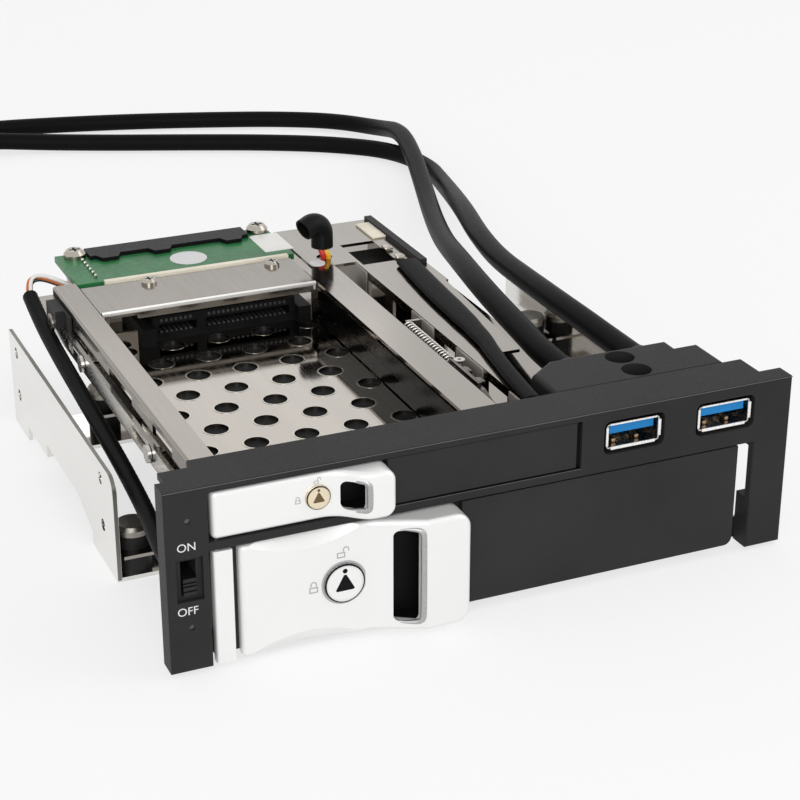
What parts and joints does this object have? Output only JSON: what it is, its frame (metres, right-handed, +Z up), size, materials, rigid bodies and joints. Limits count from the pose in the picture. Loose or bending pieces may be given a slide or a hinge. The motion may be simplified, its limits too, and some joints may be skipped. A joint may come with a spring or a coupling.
{
  "type": "two-bay drive mounting frame",
  "caption": "Trayless drive rack for a front bay: steel cage on rubber dampers between side brackets, hinged locking doors for large and small drives, front data ports and a power switch.",
  "frame": {"origin": "centre of the rack's footprint, handles included, on the level of the bracket feet", "axes": "+X to the right seen from the bezel, +Y from the bezel to the back, +Z up"},
  "size_m": [0.1923, 0.406, 0.0533],
  "materials": {
    "black_plastic": "fine matt moulding",
    "door_plastic": "matt moulding",
    "knob_plastic": "matt moulding",
    "silver_handle": "satin",
    "cage_steel": "bright rolled sheet",
    "bracket_steel": "bright plated sheet",
    "bright_steel": "bright plated",
    "lock_brass": "satin",
    "lock_steel": "satin",
    "port_blue": "smooth moulding",
    "board_green": "solder mask",
    "board_cream": "sawn laminate edge",
    "rubber_black": "matt",
    "lead_black": "smooth jacket",
    "braid_black": "woven sleeve",
    "wire_red": "smooth insulation",
    "plug_white": "smooth moulding",
    "lamp_clear": "clear"
  },
  "bodies": {
    "chassis": {"bezel": "black_plastic", "switch_body": "black_plastic", "usb_housing": "black_plastic", "usb_housing_cap": "black_plastic", "flat_lead_shell": "black_plastic", "header_plug": "black_plastic", "upper_drive_socket": "black_plastic", "lower_drive_socket": "black_plastic", "rear_socket_shroud": "black_plastic", "rear_sockets": "black_plastic", "bay_deck": "cage_steel", "left_rail": "cage_steel", "right_rail": "cage_steel", "right_cover": "cage_steel", "lower_left_wall": "cage_steel", "lower_right_rail": "cage_steel", "rear_wall": "cage_steel", "rear_bridge": "cage_steel", "left_bracket": "bracket_steel", "right_bracket": "bracket_steel", "hinge_pin": "bright_steel", "damper_posts": "bright_steel", "board_screws": "bright_steel", "bridge_screws": "bright_steel", "bezel_screws": "bright_steel", "upper_rod_rivets": "bright_steel", "lower_rod_rivets": "bright_steel", "latch_spring": "bright_steel", "usb_shell_left": "bright_steel", "usb_shell_right": "bright_steel", "board_pillars": "bright_steel", "usb_tongue_left": "port_blue", "usb_tongue_right": "port_blue", "control_board": "board_green", "backplane_board": "board_cream", "rubber_dampers": "rubber_black", "left_usb_lead": "lead_black", "right_usb_lead": "lead_black", "flat_lead": "lead_black", "lead_sleeve": "lead_black", "switch_lead": "braid_black", "thin_wires": "wire_red", "lead_plug": "plug_white", "indicator_lamps": "lamp_clear"},
    "upper_door": {"upper_door_panel": "door_plastic", "upper_handle": "silver_handle"},
    "lower_door": {"lower_door_panel": "door_plastic", "lower_handle": "silver_handle", "lower_hinge_block": "silver_handle"},
    "upper_lock": {"upper_lock_barrel": "lock_brass", "upper_lock_cam": "bright_steel"},
    "lower_lock": {"lower_lock_barrel": "lock_steel", "lower_lock_cam": "bright_steel"},
    "power_switch": {"switch_knob": "knob_plastic"},
    "upper_ejector": {"upper_eject_rod": "bright_steel", "upper_pusher": "black_plastic"},
    "lower_ejector": {"lower_eject_rod": "bright_steel"},
    "latch": {"latch_slider": "bright_steel", "latch_roller": "bright_steel"}
  },
  "joints": [
    {"name": "upper_door_hinge", "type": "hinge", "parent": "chassis", "child": "upper_door", "pos_m": [-0.0631, -0.0754, 0.0358], "axis": [0, 0, -1], "range_deg": [0, 95]},
    {"name": "lower_door_hinge", "type": "hinge", "parent": "chassis", "child": "lower_door", "pos_m": [-0.0631, -0.0754, 0.01443], "axis": [0, 0, -1], "range_deg": [0, 95]},
    {"name": "upper_lock_turn", "type": "hinge", "parent": "upper_door", "child": "upper_lock", "pos_m": [-0.0412, -0.0767, 0.0358], "axis": [0, -1, 0], "range_deg": [0, 90]},
    {"name": "lower_lock_turn", "type": "hinge", "parent": "lower_door", "child": "lower_lock", "pos_m": [-0.0356, -0.0767, 0.01443], "axis": [0, -1, 0], "range_deg": [0, 90]},
    {"name": "power_slide", "type": "slide", "parent": "chassis", "child": "power_switch", "axis": [0, 0, 1], "range_m": [0, 0.0036]},
    {"name": "upper_eject_slide", "type": "slide", "parent": "chassis", "child": "upper_ejector", "axis": [0, -1, 0], "range_m": [0, 0.012]},
    {"name": "lower_eject_slide", "type": "slide", "parent": "chassis", "child": "lower_ejector", "axis": [0, -1, 0], "range_m": [0, 0.012]},
    {"name": "latch_slide", "type": "slide", "parent": "chassis", "child": "latch", "axis": [0, 1, 0], "range_m": [0, 0.004], "stiffness_N_per_m": 150, "springref_m": -0.002, "deforming": ["latch_spring"]}
  ],
  "couplings": [
    {"joint": "upper_eject_slide", "follows": "upper_door_hinge", "m_per_rad": 0.0072374},
    {"joint": "lower_eject_slide", "follows": "lower_door_hinge", "m_per_rad": 0.0072374}
  ]
}
